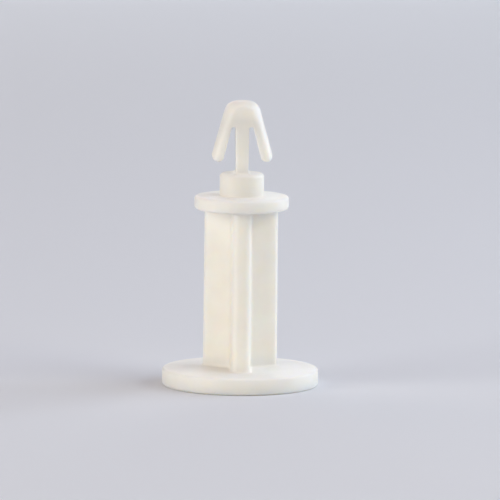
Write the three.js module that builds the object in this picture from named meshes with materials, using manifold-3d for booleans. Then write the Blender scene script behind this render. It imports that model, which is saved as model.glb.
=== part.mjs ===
// Snap-in spacer support for a panel or circuit board: a round base disc, a column of three ribs,
// a round flange that the panel seats on, a shoulder boss that fills the panel's hole, and a slotted
// arrowhead whose two barbs fold in to pass the hole and spring out behind it.
// Millimetres, +Z up along the axis. The origin is the centre of the base disc's flat underside.
// The arrowhead lies in the XZ plane and one rib of the column points along -Y.
import * as THREE from 'three';
import { mergeVertices } from 'three/addons/utils/BufferGeometryUtils.js';
import Module from 'manifold-3d';

// Base disc
const baseDiameter = 16.4;
const baseThickness = 1.8;
const baseEdgeRadius = 0.25;

// Ribbed column
const columnHeight = 16.8;
const ribReach = 4.24; // from the axis to a rib's outer face
const ribThickness = 1.95;
const ribCornerRadius = 0.55;

// Flange, the panel's seat
const flangeDiameter = 9.9;
const flangeThickness = 1.4;
const flangeEdgeRadius = 0.25;

// Panel hole, and the boss that fills it
const panelHoleDiameter = 4.8;
const bossClearance = 0.15; // on the diameter
const bossHeight = 2.4;
const bossEdgeRadius = 0.2;

// Arrowhead
const stemWidth = 1.4;
const stemLength = 4.97; // from the boss to the top of the slots
const stemFootFillet = 0.3;
const headDepth = 3.2; // between the flats on the head's front and back
const noseHeight = 2.63; // above the top of the slots
const noseClearance = 0.12; // on the diameter, where the solid nose passes the panel's hole
const noseCrownRadius = 1.35;
const coneHalfAngle = THREE.MathUtils.degToRad(15.5);
const barbThickness = 1.25;
const barbTipGap = 1.3; // from the boss up to the lowest point of a barb
const flexGap = 0.1; // round a barb's root, where the moulding bends

// Facets
const discSegments = 64;
const edgeSegments = 4;
const coneSegments = 64;
const cornerSegments = 6;
const knuckleSegments = 12;

// Heights of the faces where the features meet
const baseTop = baseThickness;
const columnTop = baseTop + columnHeight;
const seatHeight = columnTop + flangeThickness;
const bossTop = seatHeight + bossHeight;
const slotTop = bossTop + stemLength;
const headTop = slotTop + noseHeight;

const bossRadius = (panelHoleDiameter - bossClearance) / 2;
const noseRadius = (panelHoleDiameter - noseClearance) / 2; // at the top of the slots
const knuckleRadius = barbThickness / 2;
const knuckleX = noseRadius - knuckleRadius / Math.cos(coneHalfAngle);

const wasm = await Module();
wasm.setup();

function nylon(name) {
  return new THREE.MeshStandardMaterial({ name, color: '#e8e0d4', roughness: 0.42, metalness: 0 });
}

function pieceOf(name, geometry) {
  const piece = new THREE.Mesh(geometry, nylon(`${name}_nylon`));
  piece.name = name;
  return piece;
}

// A closed mesh as a solid that can be joined and cut.
function solidOf(geometry) {
  const bare = geometry.clone();
  bare.deleteAttribute('normal');
  bare.deleteAttribute('uv');
  const merged = mergeVertices(bare, 1e-5);
  return new wasm.Manifold(new wasm.Mesh({
    numProp: 3,
    vertProperties: new Float32Array(merged.attributes.position.array),
    triVerts: new Uint32Array(merged.index.array),
  }));
}

function geometryOf(solid) {
  const mesh = solid.getMesh();
  const geometry = new THREE.BufferGeometry();
  geometry.setAttribute('position', new THREE.BufferAttribute(mesh.vertProperties, 3));
  geometry.setIndex(new THREE.BufferAttribute(mesh.triVerts, 1));
  return geometry;
}

// A profile of [radius, height] points turned about the Z axis.
function turned(profile, segments) {
  const geometry = new THREE.LatheGeometry(profile.map(([r, z]) => new THREE.Vector2(r, z)), segments);
  return geometry.rotateX(Math.PI / 2);
}

// Points of a quarter round between two directions, angles in radians.
function arcPoints(centreR, centreZ, radius, from, to, steps) {
  return Array.from({ length: steps + 1 }, (_, i) => {
    const angle = from + ((to - from) * i) / steps;
    return [centreR + radius * Math.cos(angle), centreZ + radius * Math.sin(angle)];
  });
}

// An outline drawn in the XZ plane, given the head's depth in Y and centred on the axis.
function acrossHead(outline, curveSegments) {
  const geometry = new THREE.ExtrudeGeometry(outline, {
    depth: headDepth,
    bevelEnabled: false,
    curveSegments,
  });
  return geometry.rotateX(Math.PI / 2).translate(0, headDepth / 2, 0);
}

// Base disc with both rims rounded.
function baseDisc() {
  const r = baseDiameter / 2 - baseEdgeRadius;
  const profile = [
    [0, 0],
    ...arcPoints(r, baseEdgeRadius, baseEdgeRadius, -Math.PI / 2, 0, edgeSegments),
    ...arcPoints(r, baseTop - baseEdgeRadius, baseEdgeRadius, 0, Math.PI / 2, edgeSegments),
    [0, baseTop],
  ];
  return pieceOf('base_disc', turned(profile, discSegments));
}

// Corners of the core: where the flanks of neighbouring ribs meet.
function coreCorner(angle) {
  const reach = ribThickness / Math.sqrt(3);
  return new THREE.Vector2(reach * Math.cos(angle), reach * Math.sin(angle));
}

// Triangular core with one side for the root of each rib.
function columnCore() {
  const outline = new THREE.Shape([30, 150, 270].map((degrees) => {
    return coreCorner(THREE.MathUtils.degToRad(degrees + 60));
  }));
  const geometry = new THREE.ExtrudeGeometry(outline, { depth: columnHeight, bevelEnabled: false });
  return pieceOf('column_core', geometry.translate(0, 0, baseTop));
}

// One rib from the core out to its rounded tip, pointing at an angle from +X.
function rib(name, degrees) {
  const angle = THREE.MathUtils.degToRad(degrees);
  const along = new THREE.Vector2(Math.cos(angle), Math.sin(angle));
  const across = new THREE.Vector2(-along.y, along.x);
  const at = (out, side) => along.clone().multiplyScalar(out).addScaledVector(across, side);
  const shoulder = ribReach - ribCornerRadius;
  const halfFlat = ribThickness / 2 - ribCornerRadius;
  const right = at(shoulder, -halfFlat);
  const left = at(shoulder, halfFlat);
  const quarter = Math.PI / 2;

  const outline = new THREE.Shape();
  outline.setFromPoints([coreCorner(angle - Math.PI / 3), at(shoulder, -ribThickness / 2)]);
  outline.absarc(right.x, right.y, ribCornerRadius, angle - quarter, angle, false);
  outline.absarc(left.x, left.y, ribCornerRadius, angle, angle + quarter, false);
  const foot = coreCorner(angle + Math.PI / 3);
  outline.lineTo(foot.x, foot.y);
  outline.closePath();
  const geometry = new THREE.ExtrudeGeometry(outline, {
    depth: columnHeight,
    bevelEnabled: false,
    curveSegments: cornerSegments,
  });
  return pieceOf(name, geometry.translate(0, 0, baseTop));
}

// Flange: a ring round the boss, with both outer rims rounded.
function topFlange() {
  const r = flangeDiameter / 2 - flangeEdgeRadius;
  const profile = [
    [bossRadius, columnTop],
    ...arcPoints(r, columnTop + flangeEdgeRadius, flangeEdgeRadius, -Math.PI / 2, 0, edgeSegments),
    ...arcPoints(r, seatHeight - flangeEdgeRadius, flangeEdgeRadius, 0, Math.PI / 2, edgeSegments),
    [bossRadius, seatHeight],
    [bossRadius, columnTop],
  ];
  return pieceOf('top_flange', turned(profile, discSegments));
}

// Shoulder boss, from the top of the column through the flange.
function shoulderBoss() {
  const profile = [
    [0, columnTop],
    [bossRadius, columnTop],
    ...arcPoints(bossRadius - bossEdgeRadius, bossTop - bossEdgeRadius, bossEdgeRadius, 0, Math.PI / 2,
      edgeSegments),
    [0, bossTop],
  ];
  return pieceOf('shoulder_boss', turned(profile, discSegments));
}

// Flat stem with a small fillet at its foot.
function stem() {
  const half = stemWidth / 2;
  const out = half + stemFootFillet;
  const up = bossTop + stemFootFillet;
  const outline = new THREE.Shape();
  outline.moveTo(-out, bossTop);
  outline.lineTo(out, bossTop);
  outline.absarc(out, up, stemFootFillet, -Math.PI / 2, -Math.PI, true);
  outline.lineTo(half, slotTop);
  outline.lineTo(-half, slotTop);
  outline.absarc(-out, up, stemFootFillet, 0, -Math.PI / 2, true);
  return pieceOf('stem', acrossHead(outline, cornerSegments));
}

// The cone that the nose and both barbs are cut from, down to below the barbs' tips.
function headCone() {
  const radiusAt = (z) => noseRadius + (slotTop - z) * Math.tan(coneHalfAngle);
  const crownZ = headTop - noseCrownRadius;
  const crownR = radiusAt(crownZ) - noseCrownRadius / Math.cos(coneHalfAngle);
  const profile = [
    [0, bossTop],
    [radiusAt(bossTop), bossTop],
    ...arcPoints(crownR, crownZ, noseCrownRadius, coneHalfAngle, Math.PI / 2, 2 * edgeSegments),
    [0, headTop],
  ];
  return solidOf(turned(profile, coneSegments));
}

// Solid nose, with a round hollow each side of the stem for the barbs' roots.
function arrowNose(cone) {
  const socket = knuckleRadius + flexGap;
  const wide = noseRadius + socket;
  const outline = new THREE.Shape();
  outline.moveTo(socket - knuckleX, slotTop);
  outline.lineTo(knuckleX - socket, slotTop);
  outline.absarc(knuckleX, slotTop, socket, Math.PI, 0, true);
  outline.lineTo(wide, slotTop);
  outline.lineTo(wide, headTop + noseHeight);
  outline.lineTo(-wide, headTop + noseHeight);
  outline.lineTo(-wide, slotTop);
  outline.absarc(-knuckleX, slotTop, socket, Math.PI, 0, true);
  const blank = solidOf(acrossHead(outline, knuckleSegments));
  return pieceOf('arrow_nose', geometryOf(blank.intersect(cone)));
}

// One barb: a strip with round ends that follows the cone. side is 1 for +X and -1 for -X.
function barb(name, side, cone) {
  const tipZ = bossTop + barbTipGap + knuckleRadius;
  const tipX = knuckleX + (slotTop - tipZ) * Math.tan(coneHalfAngle);
  const lean = coneHalfAngle;
  const outline = new THREE.Shape();
  outline.absarc(side * knuckleX, slotTop, knuckleRadius, side * lean, side * lean + Math.PI, false);
  outline.absarc(side * tipX, tipZ, knuckleRadius, side * lean + Math.PI, side * lean + 2 * Math.PI, false);
  outline.closePath();
  const blank = solidOf(acrossHead(outline, knuckleSegments));
  return pieceOf(name, geometryOf(blank.intersect(cone)));
}

const cone = headCone();

const column = new THREE.Group();
column.add(columnCore(), rib('front_rib', 270), rib('left_rib', 150), rib('right_rib', 30));

const arrowhead = new THREE.Group();
arrowhead.add(stem(), arrowNose(cone), barb('left_barb', -1, cone), barb('right_barb', 1, cone));

const spacerSupport = new THREE.Group();
spacerSupport.add(baseDisc(), column, topFlange(), shoulderBoss(), arrowhead);

export default spacerSupport;
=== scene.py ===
# Snap-in spacer support: a board or thin panel is held off a surface on a round flange, and two spring
# barbs close behind the panel's hole. The real one is a single moulding in natural nylon, and each
# section below makes one of its features, from the foot up. Sizes are millimetres unless a name says
# otherwise, in the part's own frame: +Z up, the arrowhead in the XZ plane, one rib towards -Y.
import math
import bpy
import bmesh
from mathutils import Matrix, Vector
from mathutils.bvhtree import BVHTree


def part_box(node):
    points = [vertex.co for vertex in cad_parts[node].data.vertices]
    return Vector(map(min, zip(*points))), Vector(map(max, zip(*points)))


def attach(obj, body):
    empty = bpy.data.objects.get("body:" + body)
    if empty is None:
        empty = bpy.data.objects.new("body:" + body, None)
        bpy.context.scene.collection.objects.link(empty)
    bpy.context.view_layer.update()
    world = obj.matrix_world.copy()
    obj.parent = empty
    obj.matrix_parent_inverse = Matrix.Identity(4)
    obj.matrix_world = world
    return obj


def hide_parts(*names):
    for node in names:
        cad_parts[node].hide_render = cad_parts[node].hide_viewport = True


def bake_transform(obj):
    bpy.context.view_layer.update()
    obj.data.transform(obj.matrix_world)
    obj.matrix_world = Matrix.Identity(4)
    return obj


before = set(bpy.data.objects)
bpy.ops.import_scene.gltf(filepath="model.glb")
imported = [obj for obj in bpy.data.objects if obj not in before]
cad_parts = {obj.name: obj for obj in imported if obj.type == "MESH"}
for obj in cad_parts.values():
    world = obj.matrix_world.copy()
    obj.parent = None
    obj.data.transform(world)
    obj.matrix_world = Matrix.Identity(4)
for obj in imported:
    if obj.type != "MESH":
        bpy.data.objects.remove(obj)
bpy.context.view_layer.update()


# ---------------------------------------------------------------------------------------------------
# Base disc: the round foot that stands on the surface, flat underneath. Natural nylon 6/6, moulded in
# one shot with everything above it. The mould's halves part along the XZ plane, which leaves a witness
# line as fine as a hair across the rim.

MM = 0.001
TURN_STEPS = 240
RIM_STEPS = 8
RING_SPACING = 0.35  # between the rings of a flat face
PARTING_HEIGHT = 0.022
PARTING_HALF_WIDTH = 0.07
PARTING_FADE = 0.1  # how far in from the widest rim the line dies out


def in_mm(node):
    """The low and high corners of one solid's box, in millimetres."""
    low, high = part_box(node)
    return low / MM, high / MM


def arc(centre_a, centre_b, radius, start, end, steps):
    """Points of a round, from one angle to another in degrees, both ends included."""
    angles = [math.radians(start + (end - start) * i / steps) for i in range(steps + 1)]
    return [(centre_a + radius * math.cos(t), centre_b + radius * math.sin(t)) for t in angles]


def turn_angles(radius):
    """Even angles round a disc, with the extra ones that draw the parting line at +X and -X."""
    fine = PARTING_HALF_WIDTH / radius
    even = [2 * math.pi * i / TURN_STEPS for i in range(TURN_STEPS)]
    clear = [t for t in even if abs(math.sin(t)) > 1.6 * math.sin(fine)]
    lines = [side + shift for side in (0, math.pi) for shift in (-fine, 0, fine)]
    return sorted(t % (2 * math.pi) for t in clear + lines)


def turned(profile, widest):
    """Rings of a turned form from (radius, height) points, with the parting line on its widest rim."""
    angles = turn_angles(widest)
    rings = []
    for radius, z in profile:
        rim = max(0.0, 1 - (widest - radius) / PARTING_FADE)
        ring = []
        for t in angles:
            on_line = rim if abs(math.sin(t)) < 1e-9 else 0.0
            r = radius + PARTING_HEIGHT * on_line
            ring.append((r * math.cos(t), r * math.sin(t), z))
        rings.append(ring)
    return rings


def skin(name, rings, hidden_ends=(False, False)):
    """A closed mesh over a stack of rings. An end that lies on the next feature keeps a sharp edge."""
    form = bmesh.new()
    loops = [[form.verts.new(Vector(point) * MM) for point in ring] for ring in rings]
    for lower, upper in zip(loops, loops[1:]):
        for i, vert in enumerate(lower):
            j = (i + 1) % len(lower)
            form.faces.new((vert, lower[j], upper[j], upper[i]))
    ends = [form.faces.new(reversed(loops[0])), form.faces.new(loops[-1])]
    for face in form.faces:
        face.smooth = True
    for end, hidden in zip(ends, hidden_ends):
        for edge in end.edges:
            edge.smooth = not hidden
    mesh = bpy.data.meshes.new(name)
    form.to_mesh(mesh)
    form.free()
    piece = bpy.data.objects.new(name, mesh)
    bpy.context.scene.collection.objects.link(piece)
    return piece


def linear(hex_colour):
    """An sRGB hex colour as the linear colour that a shader takes."""
    parts = [int(hex_colour[i:i + 2], 16) / 255 for i in (1, 3, 5)]
    return (*(c / 12.92 if c <= 0.04045 else ((c + 0.055) / 1.055) ** 2.4 for c in parts), 1.0)


def add(tree, kind, sockets, **settings):
    """Adds one shader node. A socket takes a value, or the output that feeds it."""
    made = tree.nodes.new(kind)
    for key, value in settings.items():
        setattr(made, key, value)
    for key, value in sockets.items():
        if isinstance(value, bpy.types.NodeSocket):
            tree.links.new(value, made.inputs[key])
        else:
            made.inputs[key].default_value = value
    return made


def natural_nylon():
    """Undyed nylon 6/6, injection moulded against spark-eroded steel: creamy, a little cloudy, light
    soaks in at thin edges, and the skin has a fine satin grain over a very slight shrink ripple."""
    material = bpy.data.materials.new("natural_nylon_satin_moulded")
    material.use_nodes = True
    tree = material.node_tree
    shader = tree.nodes["Principled BSDF"]
    shader.subsurface_method = "RANDOM_WALK"
    for socket, value in {
        "IOR": 1.53,
        "Subsurface Radius": (1.0, 0.88, 0.72),
        "Subsurface Scale": 1.4 * MM,
        "Subsurface Anisotropy": 0.0,
    }.items():
        shader.inputs[socket].default_value = value

    metres = add(tree, "ShaderNodeTexCoord", {}).outputs["Object"]
    place = add(tree, "ShaderNodeVectorMath", {0: metres, "Scale": 1 / MM}, operation="SCALE").outputs[0]

    # cloudiness of the resin, in patches 2 to 3 mm across
    cloud = add(tree, "ShaderNodeTexNoise", {"Vector": place, "Scale": 1 / 2.6, "Detail": 3.0})
    tint = add(tree, "ShaderNodeValToRGB", {"Fac": cloud.outputs["Fac"]})
    tint.color_ramp.elements[0].position = 0.3
    tint.color_ramp.elements[0].color = linear("#f4f1ea")
    tint.color_ramp.elements[1].position = 0.7
    tint.color_ramp.elements[1].color = linear("#f8f5ef")
    tree.links.new(tint.outputs["Color"], shader.inputs["Base Color"])

    # the gloss of a moulded skin varies a little where the melt met the steel late
    flow = add(tree, "ShaderNodeTexNoise", {"Vector": place, "Scale": 1 / 1.1, "Detail": 2.0})
    gloss = add(tree, "ShaderNodeMapRange", {"Value": flow.outputs["Fac"], "To Min": 0.38, "To Max": 0.50})
    tree.links.new(gloss.outputs["Result"], shader.inputs["Roughness"])

    # shrink ripple about 3 mm long, then the steel's grain, 0.05 mm on the real skin and drawn at 0.14 mm
    ripple = add(tree, "ShaderNodeTexNoise", {"Vector": place, "Scale": 1 / 3.2, "Detail": 1.0})
    grain = add(tree, "ShaderNodeTexNoise", {"Vector": place, "Scale": 1 / 0.14, "Detail": 2.0})
    wave = add(tree, "ShaderNodeBump", {"Height": ripple.outputs["Fac"], "Distance": 0.05 * MM})
    satin = add(tree, "ShaderNodeBump", {
        "Height": grain.outputs["Fac"],
        "Distance": 0.006 * MM,
        "Normal": wave.outputs["Normal"],
    })
    tree.links.new(satin.outputs["Normal"], shader.inputs["Normal"])

    # light can't pass from one skin into the next, so the soaking fades out over the last 0.8 mm
    reach = add(tree, "ShaderNodeAttribute", {}, attribute_name="distance_to_neighbour")
    soak = add(tree, "ShaderNodeMapRange", {
        "Value": reach.outputs["Fac"],
        "From Max": 0.8,
        "To Max": 1.0,
    }, interpolation_type="SMOOTHSTEP")
    tree.links.new(soak.outputs["Result"], shader.inputs["Subsurface Weight"])
    return material


nylon = natural_nylon()
pieces = []


def settle(piece, body, *nodes):
    """Gives a finished piece its nylon, hides the nodes that it stands for and hangs it on the body that
    carries it, if there is one.
    """
    piece.data.materials.append(nylon)
    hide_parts(*nodes)
    if body:
        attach(piece, body)
    pieces.append(piece)


BASE_RIM_ROUND = 0.25
UNDERSIDE_RINGS = (0.2, 0.45, 0.7, 0.88)  # shares of the flat underside's radius
BASE_TOP_RINGS = 19

base_high = in_mm("base_disc")[1]
base_radius = base_high.x - PARTING_HEIGHT
base_top = base_high.z

base_in = base_radius - BASE_RIM_ROUND
base_profile = [(base_in * share, 0.0) for share in UNDERSIDE_RINGS]
base_profile += arc(base_in, BASE_RIM_ROUND, BASE_RIM_ROUND, -90, 0, RIM_STEPS)
base_profile += arc(base_in, base_top - BASE_RIM_ROUND, BASE_RIM_ROUND, 0, 90, RIM_STEPS)
base_profile += [(base_in - ring * RING_SPACING, base_top) for ring in range(1, BASE_TOP_RINGS + 1)]
base_disc = skin("base_disc_skin", turned(base_profile, base_radius))
settle(base_disc, "post", "base_disc")


# ---------------------------------------------------------------------------------------------------
# Column: three ribs, 120 degrees apart, that meet in a web on the axis. Ribs keep every wall near
# 2 mm, so the moulding cools without sinking. Rib tips are rounded, the roots and both ends have small
# fillets, and the ribs lean in a little towards the flange so that the part leaves the mould.

RIB_TIP_ROUND = 0.72
RIB_ROOT_ROUND = 0.7
COLUMN_END_ROUND = 0.28
COLUMN_DRAFT = 0.05  # how much shorter a rib is at the flange than at the base
RIB_HEADINGS = (270, 30, 150)
FILLET_STEPS = 7
FLANK_STEPS = 10
SHAFT_STEPS = 36

rib_low, rib_high = in_mm("front_rib")
rib_reach = -rib_low.y
rib_thickness = rib_high.x - rib_low.x
column_foot = rib_low.z
column_head = rib_high.z


def rib_outline(reach, swell):
    """The three ribs' outline, grown outwards by swell, as (x, y) points."""
    half = rib_thickness / 2 + swell
    tip = RIB_TIP_ROUND + swell
    root = RIB_ROOT_ROUND - swell
    root_centre = (half + root) / math.sin(math.radians(60))
    shoulder = reach + swell - tip
    points = []
    for heading in RIB_HEADINGS:
        ahead = Vector((math.cos(math.radians(heading)), math.sin(math.radians(heading))))
        left = Vector((-ahead.y, ahead.x))
        bisector = math.radians(heading - 60)
        centre = Vector((math.cos(bisector), math.sin(bisector))) * root_centre
        points += arc(centre.x, centre.y, root, heading + 150, heading + 90, 8)
        foot = centre.dot(ahead)
        flank = [foot + (shoulder - foot) * i / FLANK_STEPS for i in range(1, FLANK_STEPS)]
        points += [tuple(ahead * out - left * half) for out in flank]
        corner = ahead * shoulder - left * (half - tip)
        points += arc(corner.x, corner.y, tip, heading - 90, heading, 9)
        corner = ahead * shoulder + left * (half - tip)
        points += arc(corner.x, corner.y, tip, heading, heading + 90, 9)
        points += [tuple(ahead * out + left * half) for out in reversed(flank)]
    return points


def end_round(radius, steps):
    """(height, swell) of a fillet that starts flat on a face and ends upright."""
    return [(radius + b, radius + a) for a, b in arc(0, 0, radius, 270, 180, steps)]


def column_rings():
    """Outlines up the column, flared into the base below and the flange above."""
    flare = end_round(COLUMN_END_ROUND, FILLET_STEPS)
    length = column_head - column_foot
    shaft_foot = column_foot + COLUMN_END_ROUND
    shaft = length - 2 * COLUMN_END_ROUND
    levels = [(column_foot + up, swell) for up, swell in flare]
    levels += [(shaft_foot + shaft * i / SHAFT_STEPS, 0.0) for i in range(1, SHAFT_STEPS)]
    levels += [(column_head - up, swell) for up, swell in reversed(flare)]
    for z, swell in levels:
        reach = rib_reach - COLUMN_DRAFT * (z - column_foot) / length
        yield [(x, y, z) for x, y in rib_outline(reach, swell)]


column = skin("ribbed_column", list(column_rings()), (True, True))
settle(column, "post", "column_core", "front_rib", "left_rib", "right_rib")


# ---------------------------------------------------------------------------------------------------
# Flange: the round plate that the panel seats on, moulded on the head of the column.
# Its rims are rounded like the base's, and the parting line crosses it too.

FLANGE_RIM_ROUND = 0.32
FLANGE_INNER_RADIUS = 0.4  # of the first ring on its underside
FLANGE_FACE_RINGS = 12

flange_low, flange_high = in_mm("top_flange")
flange_radius = flange_high.x - PARTING_HEIGHT
seat = flange_high.z

flange_in = flange_radius - FLANGE_RIM_ROUND
flange_profile = [
    (FLANGE_INNER_RADIUS + ring * RING_SPACING, flange_low.z) for ring in range(FLANGE_FACE_RINGS)
]
flange_profile += arc(flange_in, flange_low.z + FLANGE_RIM_ROUND, FLANGE_RIM_ROUND, -90, 0, FILLET_STEPS)
flange_profile += arc(flange_in, seat - FLANGE_RIM_ROUND, FLANGE_RIM_ROUND, 0, 90, FILLET_STEPS)
flange_profile += [(flange_in - ring * RING_SPACING, seat) for ring in range(1, FLANGE_FACE_RINGS)]
flange = skin("panel_seat_flange", turned(flange_profile, flange_radius))
settle(flange, "post", "top_flange")


# ---------------------------------------------------------------------------------------------------
# Shoulder boss: the plain round shoulder that fills the panel's hole and stops the panel sliding
# sideways. A tight fillet at its foot keeps the panel's edge clear, and its top rim is eased.

BOSS_RIM_ROUND = 0.38
BOSS_FOOT_ROUND = 0.08
BOSS_WALL_RINGS = (0.4, 0.9, 1.4, 1.9)  # heights above the seat
BOSS_TOP_RING_SPACING = 0.2

boss_high = in_mm("shoulder_boss")[1]
boss_radius = boss_high.x - PARTING_HEIGHT
boss_top = boss_high.z

boss_in = boss_radius - BOSS_RIM_ROUND
boss_profile = [(boss_radius + swell, seat + up) for up, swell in end_round(BOSS_FOOT_ROUND, 5)]
boss_profile += [(boss_radius, seat + up) for up in BOSS_WALL_RINGS]
boss_profile += arc(boss_in, boss_top - BOSS_RIM_ROUND, BOSS_RIM_ROUND, 0, 90, FILLET_STEPS)
boss_profile += [(boss_in - ring * BOSS_TOP_RING_SPACING, boss_top) for ring in range(1, 9)]
boss = skin("shoulder_boss_skin", turned(boss_profile, boss_radius), (True, False))
settle(boss, "post", "shoulder_boss")


# ---------------------------------------------------------------------------------------------------
# Stem: the flat tongue between the two slots that carries the nose. It flares into the boss at its
# foot and into the round tops of the slots at its head, and its front and back are flush with the
# nose's flats.

STEM_EDGE_ROUND = 0.14
STEM_FOOT_ROUND = 0.3
STEM_TAPER = 0.045  # how much nearer the axis each side is at the foot than at the slots' tops
STEM_STEPS = 12
SLOT_ROUND = 0.19  # of each slot's top

stem_high = in_mm("stem")[1]
slot_top = stem_high.z
head_half_depth = stem_high.y
stem_half = stem_high.x - STEM_FOOT_ROUND


def rounded_bar(half, half_depth, edge):
    """Outline of an upright bar centred on the axis, as (x, y) points, anticlockwise."""
    x, y = half - edge, half_depth - edge
    corners = ((x, y, 0), (-x, y, 90), (-x, -y, 180), (x, -y, 270))
    rows = [arc(across, along, edge, start, start + 90, 6) for across, along, start in corners]
    points = []
    for row, following in zip(rows, rows[1:] + rows[:1]):
        points += row
        first, last = Vector(row[-1]), Vector(following[0])
        points += [tuple(first.lerp(last, i / 8)) for i in range(1, 8)]
    return points


def stem_rings():
    """Outlines up the stem, from its fillet on the boss to the tops of the slots."""
    for up, swell in end_round(STEM_FOOT_ROUND, FILLET_STEPS):
        half = stem_half - STEM_TAPER + swell
        yield boss_top + up, half, head_half_depth + swell, STEM_EDGE_ROUND + swell * 0.5
    straight_from = boss_top + STEM_FOOT_ROUND
    straight_to = slot_top - SLOT_ROUND
    for i in range(1, STEM_STEPS):
        share = i / STEM_STEPS
        half = stem_half - STEM_TAPER * (1 - share)
        yield straight_from + (straight_to - straight_from) * share, half, head_half_depth, STEM_EDGE_ROUND
    for up, swell in reversed(end_round(SLOT_ROUND, FILLET_STEPS)):
        edge = STEM_EDGE_ROUND * (0.25 + 0.75 * (1 - swell / SLOT_ROUND))
        yield slot_top - up, stem_half + swell, head_half_depth, edge


stem = skin("slotted_stem", [
    [(x, y, z) for x, y in rounded_bar(half, depth, edge)]
    for z, half, depth, edge in stem_rings()
], (True, True))
settle(stem, "post", "stem")


# ---------------------------------------------------------------------------------------------------
# Nose: the solid tip that leads the two barbs through the hole. A blunt cone with a rounded crown,
# flattened front and back, where the two halves of the mould pull apart.

CONE_LEAN = math.radians(15.5)
CONE_SLOPE = math.tan(CONE_LEAN)
CROWN_ROUND = 1.4
FLAT_EDGE_ROUND = 0.8
FLAT_TURN = (58.0, 74.0)  # degrees round from +X between which the flats' edges turn, where it's narrow
BARB_TIP_ROUND = 0.625

nose_top = in_mm("arrow_nose")[1].z
barb_low, barb_high = in_mm("right_barb")
tip_x = barb_high.x - BARB_TIP_ROUND
tip_z = barb_low.z + BARB_TIP_ROUND
# the cone's side touches the round of each barb's tip, which gives its radius at the slots' tops
nose_radius = tip_x + BARB_TIP_ROUND / math.cos(CONE_LEAN) - (slot_top - tip_z) * CONE_SLOPE


def cone_radius(z):
    """Radius of the cone that the nose and the barbs share."""
    return nose_radius + (slot_top - z) * CONE_SLOPE


def flattened(radius, angle):
    """Distance from the axis to a circle flattened at the head's two faces, its edges rounded."""
    across, along = abs(math.sin(angle)), abs(math.cos(angle))
    if radius <= head_half_depth:
        return radius
    centre_y = head_half_depth - FLAT_EDGE_ROUND
    centre_x = math.sqrt((radius - FLAT_EDGE_ROUND) ** 2 - centre_y ** 2)
    if across * centre_x <= along * centre_y:
        return radius
    if along * head_half_depth <= across * centre_x:
        return head_half_depth / across
    lead = along * centre_x + across * centre_y
    return lead + math.sqrt(lead ** 2 - centre_x ** 2 - centre_y ** 2 + FLAT_EDGE_ROUND ** 2)


def nose_angles(radius):
    """Angles round one ring of the nose, closer together at the rounded edges of the flats."""
    turn_from, turn_to = FLAT_TURN
    if radius > head_half_depth:
        centre_y = head_half_depth - FLAT_EDGE_ROUND
        centre_x = math.sqrt((radius - FLAT_EDGE_ROUND) ** 2 - centre_y ** 2)
        turn_from = min(turn_from, math.degrees(math.atan2(centre_y, centre_x)))
        turn_to = min(turn_to, math.degrees(math.atan2(head_half_depth, centre_x)))
    marks = [(0, turn_from, 14), (turn_from, turn_to, 8), (turn_to, 90, 12)]
    quarter = [low + (high - low) * i / n for low, high, n in marks for i in range(n)]
    half = quarter + [90.0] + [180 - angle for angle in reversed(quarter[1:])]
    return [math.radians(angle) for angle in half + [angle + 180 for angle in half]]


def nose_rings():
    """Sections up the nose, from the tops of the slots over the crown."""
    crown_z = nose_top - CROWN_ROUND
    crown_r = cone_radius(crown_z) - CROWN_ROUND / math.cos(CONE_LEAN)
    levels = [(cone_radius(z), z) for z in (slot_top + (crown_z - slot_top) * i / 14 for i in range(14))]
    levels += arc(crown_r, crown_z, CROWN_ROUND, math.degrees(CONE_LEAN), 90, 14)
    levels += [(crown_r * share, nose_top) for share in (0.75, 0.5, 0.25)]
    for radius, z in levels:
        yield [
            (flattened(radius, t) * math.cos(t), flattened(radius, t) * math.sin(t), z)
            for t in nose_angles(radius)
        ]


nose = skin("arrow_nose_skin", list(nose_rings()), (True, False))
settle(nose, "post", "arrow_nose")


# ---------------------------------------------------------------------------------------------------
# Barbs: the two springs of the arrowhead, moulded on the nose. Each carries the cone's face outside
# and a plain face towards the slot, and ends in a full round that presses on the panel. The hole's
# edge folds them in; they bend at the root.

BARB_EDGE_EASE = 0.34
BARB_TIP_TAPER = 0.22  # the share of its depth that a barb loses at its very end
BARB_OUTLINE_POINTS = 96
BARB_INNER_X = 1.11  # from the axis to the face towards the slot, at the slot's top
BARB_INNER_SLOPE = 0.25  # how fast that face leans out, a little less than the cone


def nose_depth(radius, x):
    """Half the depth of the nose's flattened section at x, for a section of this radius."""
    centre_y = head_half_depth - FLAT_EDGE_ROUND
    centre_x = math.sqrt((radius - FLAT_EDGE_ROUND) ** 2 - centre_y ** 2)
    if x <= centre_x:
        return head_half_depth
    if x * (radius - FLAT_EDGE_ROUND) <= radius * centre_x:
        return centre_y + math.sqrt(FLAT_EDGE_ROUND ** 2 - (x - centre_x) ** 2)
    return math.sqrt(max(radius * radius - x * x, 0.0))


def eased_outline(corners, length):
    """A closed outline resampled evenly, its edges eased by a running mean over a length."""
    loop = [Vector(point) for point in corners + corners[:1]]
    gone = [0.0]
    for first, second in zip(loop, loop[1:]):
        gone.append(gone[-1] + (second - first).length)
    fine = 6 * BARB_OUTLINE_POINTS
    samples = []
    segment = 0
    for i in range(fine):
        at = gone[-1] * i / fine
        while gone[segment + 1] < at:
            segment += 1
        share = (at - gone[segment]) / max(gone[segment + 1] - gone[segment], 1e-9)
        samples.append(loop[segment].lerp(loop[segment + 1], share))
    window = max(1, round(fine * length / gone[-1] / 2))
    outline = []
    for i in range(0, fine, 6):
        near = [samples[(i + shift) % fine] for shift in range(-window, window + 1)]
        outline.append(tuple(sum(near, Vector((0, 0))) / len(near)))
    return outline


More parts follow.
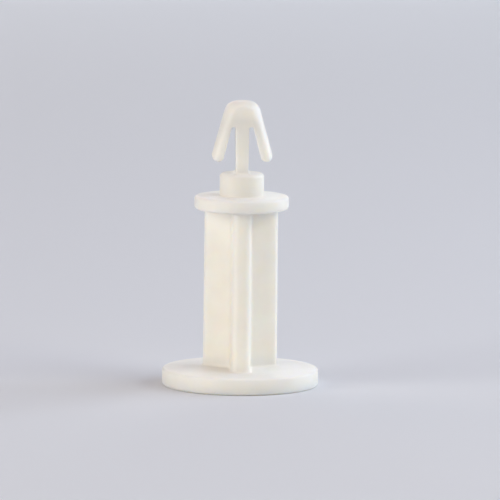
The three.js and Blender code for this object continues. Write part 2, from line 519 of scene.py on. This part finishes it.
def barb_outline(inner, outer, cone, depth_share, side):
    """Outline of a barb at one height: the nose's section between the inner and the outer face."""
    steps = [outer + (inner - outer) * (i / 40) ** 1.6 for i in range(41)]
    upper = [(x, nose_depth(cone, x) * depth_share) for x in steps]
    corners = [(outer, 0.0)] + upper + [(inner, 0.0)] + [(x, -y) for x, y in reversed(upper)]
    points = eased_outline(corners, min(BARB_EDGE_EASE, 0.6 * (outer - inner)))
    return points if side > 0 else [(-x, y) for x, y in reversed(points)]


def inner_at(z):
    """How far a barb's inner face is from the axis."""
    return BARB_INNER_X + (slot_top - z) * BARB_INNER_SLOPE


def barb_rings(side):
    """Outlines from the rounded tip up to the nose."""
    slot_middle = stem_half + SLOT_ROUND
    levels = []
    for i in range(1, 15):
        t = math.radians(-90 + (90 + math.degrees(CONE_LEAN)) * i / 15)
        z = tip_z + BARB_TIP_ROUND * math.sin(t)
        reach = BARB_TIP_ROUND * math.cos(t)
        inner = max(tip_x - reach, inner_at(z)) if z > tip_z else tip_x - reach
        levels.append((z, inner, tip_x + reach))
    join = tip_z + BARB_TIP_ROUND * math.sin(CONE_LEAN)
    straight_to = slot_top - SLOT_ROUND
    for i in range(22):
        z = join + (straight_to - join) * i / 22
        levels.append((z, inner_at(z), cone_radius(z)))
    for up, swell in reversed(end_round(SLOT_ROUND, FILLET_STEPS)):
        z = slot_top - up
        inner = inner_at(straight_to) + (slot_middle - inner_at(straight_to)) * swell / SLOT_ROUND
        levels.append((z, inner, cone_radius(z)))

    for z, inner, outer in levels:
        end = max(0.0, 1 - (z - barb_low.z) / BARB_TIP_ROUND)
        depth_share = 1 - BARB_TIP_TAPER * (1 - math.sqrt(1 - end * end))
        yield [(x, y, z) for x, y in barb_outline(inner, outer, cone_radius(z), depth_share, side)]


for side, node in ((-1, "left_barb"), (1, "right_barb")):
    barb = skin(f"{node}_skin", list(barb_rings(side)), (False, True))
    settle(barb, None, node)
    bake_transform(barb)


# ---------------------------------------------------------------------------------------------------
# Where two skins meet, each point learns how far it is from the other skins, for the nylon's soak.

SEARCH_REACH = 2 * MM

graph = bpy.context.evaluated_depsgraph_get()
trees = {piece.name: BVHTree.FromObject(piece, graph) for piece in pieces}
for piece in pieces:
    others = [tree for name, tree in trees.items() if name != piece.name]
    distance = piece.data.attributes.new("distance_to_neighbour", "FLOAT", "POINT")
    for vert, value in zip(piece.data.vertices, distance.data):
        nearest = [tree.find_nearest(vert.co, SEARCH_REACH)[3] for tree in others]
        value.value = min((gap for gap in nearest if gap is not None), default=SEARCH_REACH) / MM


# ---------------------------------------------------------------------------------------------------
# Studio: a pale paper sweep that runs up into the background, and soft boxes all round, warmest on the
# left and coolest on the right, with one over the part and a low one behind it. The camera looks
# slightly down with a long lens. Sizes here are metres.

SWEEP_HALF_WIDTH = 2.0
SWEEP_NEAR = -1.2
SWEEP_BEND = 0.5  # the bend's radius, and how far behind the part it starts
SWEEP_TOP = 1.6


def studio_floor():
    """A pale sheet on the table, far larger than the part, bent up behind it in one sweep."""
    material = bpy.data.materials.new("pale_paper_sweep")
    material.use_nodes = True
    tree = material.node_tree
    shader = tree.nodes["Principled BSDF"]
    shader.inputs["Roughness"].default_value = 0.85
    shader.inputs["Base Color"].default_value = linear("#e2e5ea")
    form = bmesh.new()
    rows = [(SWEEP_NEAR, 0.0), (0.9 * SWEEP_BEND, 0.0)]
    rows += arc(SWEEP_BEND, SWEEP_BEND, SWEEP_BEND, -90, 0, 16)
    rows += [(2 * SWEEP_BEND, SWEEP_TOP)]
    sides = (-SWEEP_HALF_WIDTH, SWEEP_HALF_WIDTH)
    lines = [[form.verts.new((x, y, z)) for x in sides] for y, z in rows]
    for near, far in zip(lines, lines[1:]):
        form.faces.new((near[0], near[1], far[1], far[0])).smooth = True
    mesh = bpy.data.meshes.new("studio_floor")
    form.to_mesh(mesh)
    form.free()
    mesh.materials.append(material)
    floor = bpy.data.objects.new("studio_floor", mesh)
    bpy.context.scene.collection.objects.link(floor)
    return floor


studio_floor()

BOX_DISTANCE = 0.60
BOX_WIDTH = 0.40
PART_MIDDLE = 0.015


def softbox(name, azimuth, elevation, height, watts, colour):
    """A rectangular light that faces the part. Azimuth 0 is the camera's side, 90 is +X."""
    lamp = bpy.data.lights.new(name, "AREA")
    lamp.shape = "RECTANGLE"
    lamp.size, lamp.size_y = BOX_WIDTH, height
    lamp.energy = watts
    lamp.color = linear(colour)[:3]
    a, e = math.radians(azimuth), math.radians(elevation)
    away = Vector((math.sin(a) * math.cos(e), -math.cos(a) * math.cos(e), math.sin(e)))
    box = bpy.data.objects.new(name, lamp)
    box.location = away * BOX_DISTANCE + Vector((0, 0, PART_MIDDLE))
    box.rotation_euler = away.to_track_quat("Z", "Y").to_euler()
    box.visible_camera = False
    bpy.context.scene.collection.objects.link(box)


softbox("warm_box_left", -60, 12, 0.40, 2.39, "#fffcf5")
softbox("amber_box_front_left", -21, 22, 0.40, 0.23, "#ffd88a")
softbox("warm_box_back_left", -140, 30, 0.40, 0.47, "#ffe8d7")
softbox("overhead_box", 10, 80, 0.40, 0.70, "#f8ebff")
softbox("warm_box_right", 60, 25, 0.40, 1.02, "#fff9e0")
softbox("cool_box_high_right", 78, 50, 0.40, 1.04, "#dfeaff")
softbox("cool_box_right", 112, 20, 0.40, 1.75, "#ebf4ff")
softbox("low_box_behind", 180, 14, 0.24, 0.48, "#f5f9ff")

bpy.context.scene.view_settings.view_transform = "Standard"

CAMERA_DISTANCE = 0.734
CAMERA_HEIGHT = 0.1115
CAMERA_AZIMUTH = -1.1  # degrees from the front towards +X
CAMERA_ROLL = 0.55  # degrees
VIEW_WIDTH = 0.0524  # at the part
AIM_HEIGHT = 0.01425
AIM_RIGHT = 0.00092

lens = bpy.data.cameras.new("studio_camera")
lens.sensor_width = 36.0
lens.lens = lens.sensor_width * math.hypot(CAMERA_DISTANCE, CAMERA_HEIGHT - AIM_HEIGHT) / VIEW_WIDTH
lens.clip_start, lens.clip_end = 0.05, 10.0
camera = bpy.data.objects.new("studio_camera", lens)
bpy.context.scene.collection.objects.link(camera)
turn = math.radians(CAMERA_AZIMUTH)
right = Vector((math.cos(turn), math.sin(turn), 0))
aim = right * AIM_RIGHT + Vector((0, 0, AIM_HEIGHT))
camera.location = aim + Vector((
    math.sin(turn) * CAMERA_DISTANCE,
    -math.cos(turn) * CAMERA_DISTANCE,
    CAMERA_HEIGHT - AIM_HEIGHT,
))
facing = (aim - camera.location).to_track_quat("-Z", "Y").to_matrix().to_4x4()
facing @= Matrix.Rotation(math.radians(CAMERA_ROLL), 4, "Z")
camera.rotation_euler = facing.to_euler()
bpy.context.scene.camera = camera
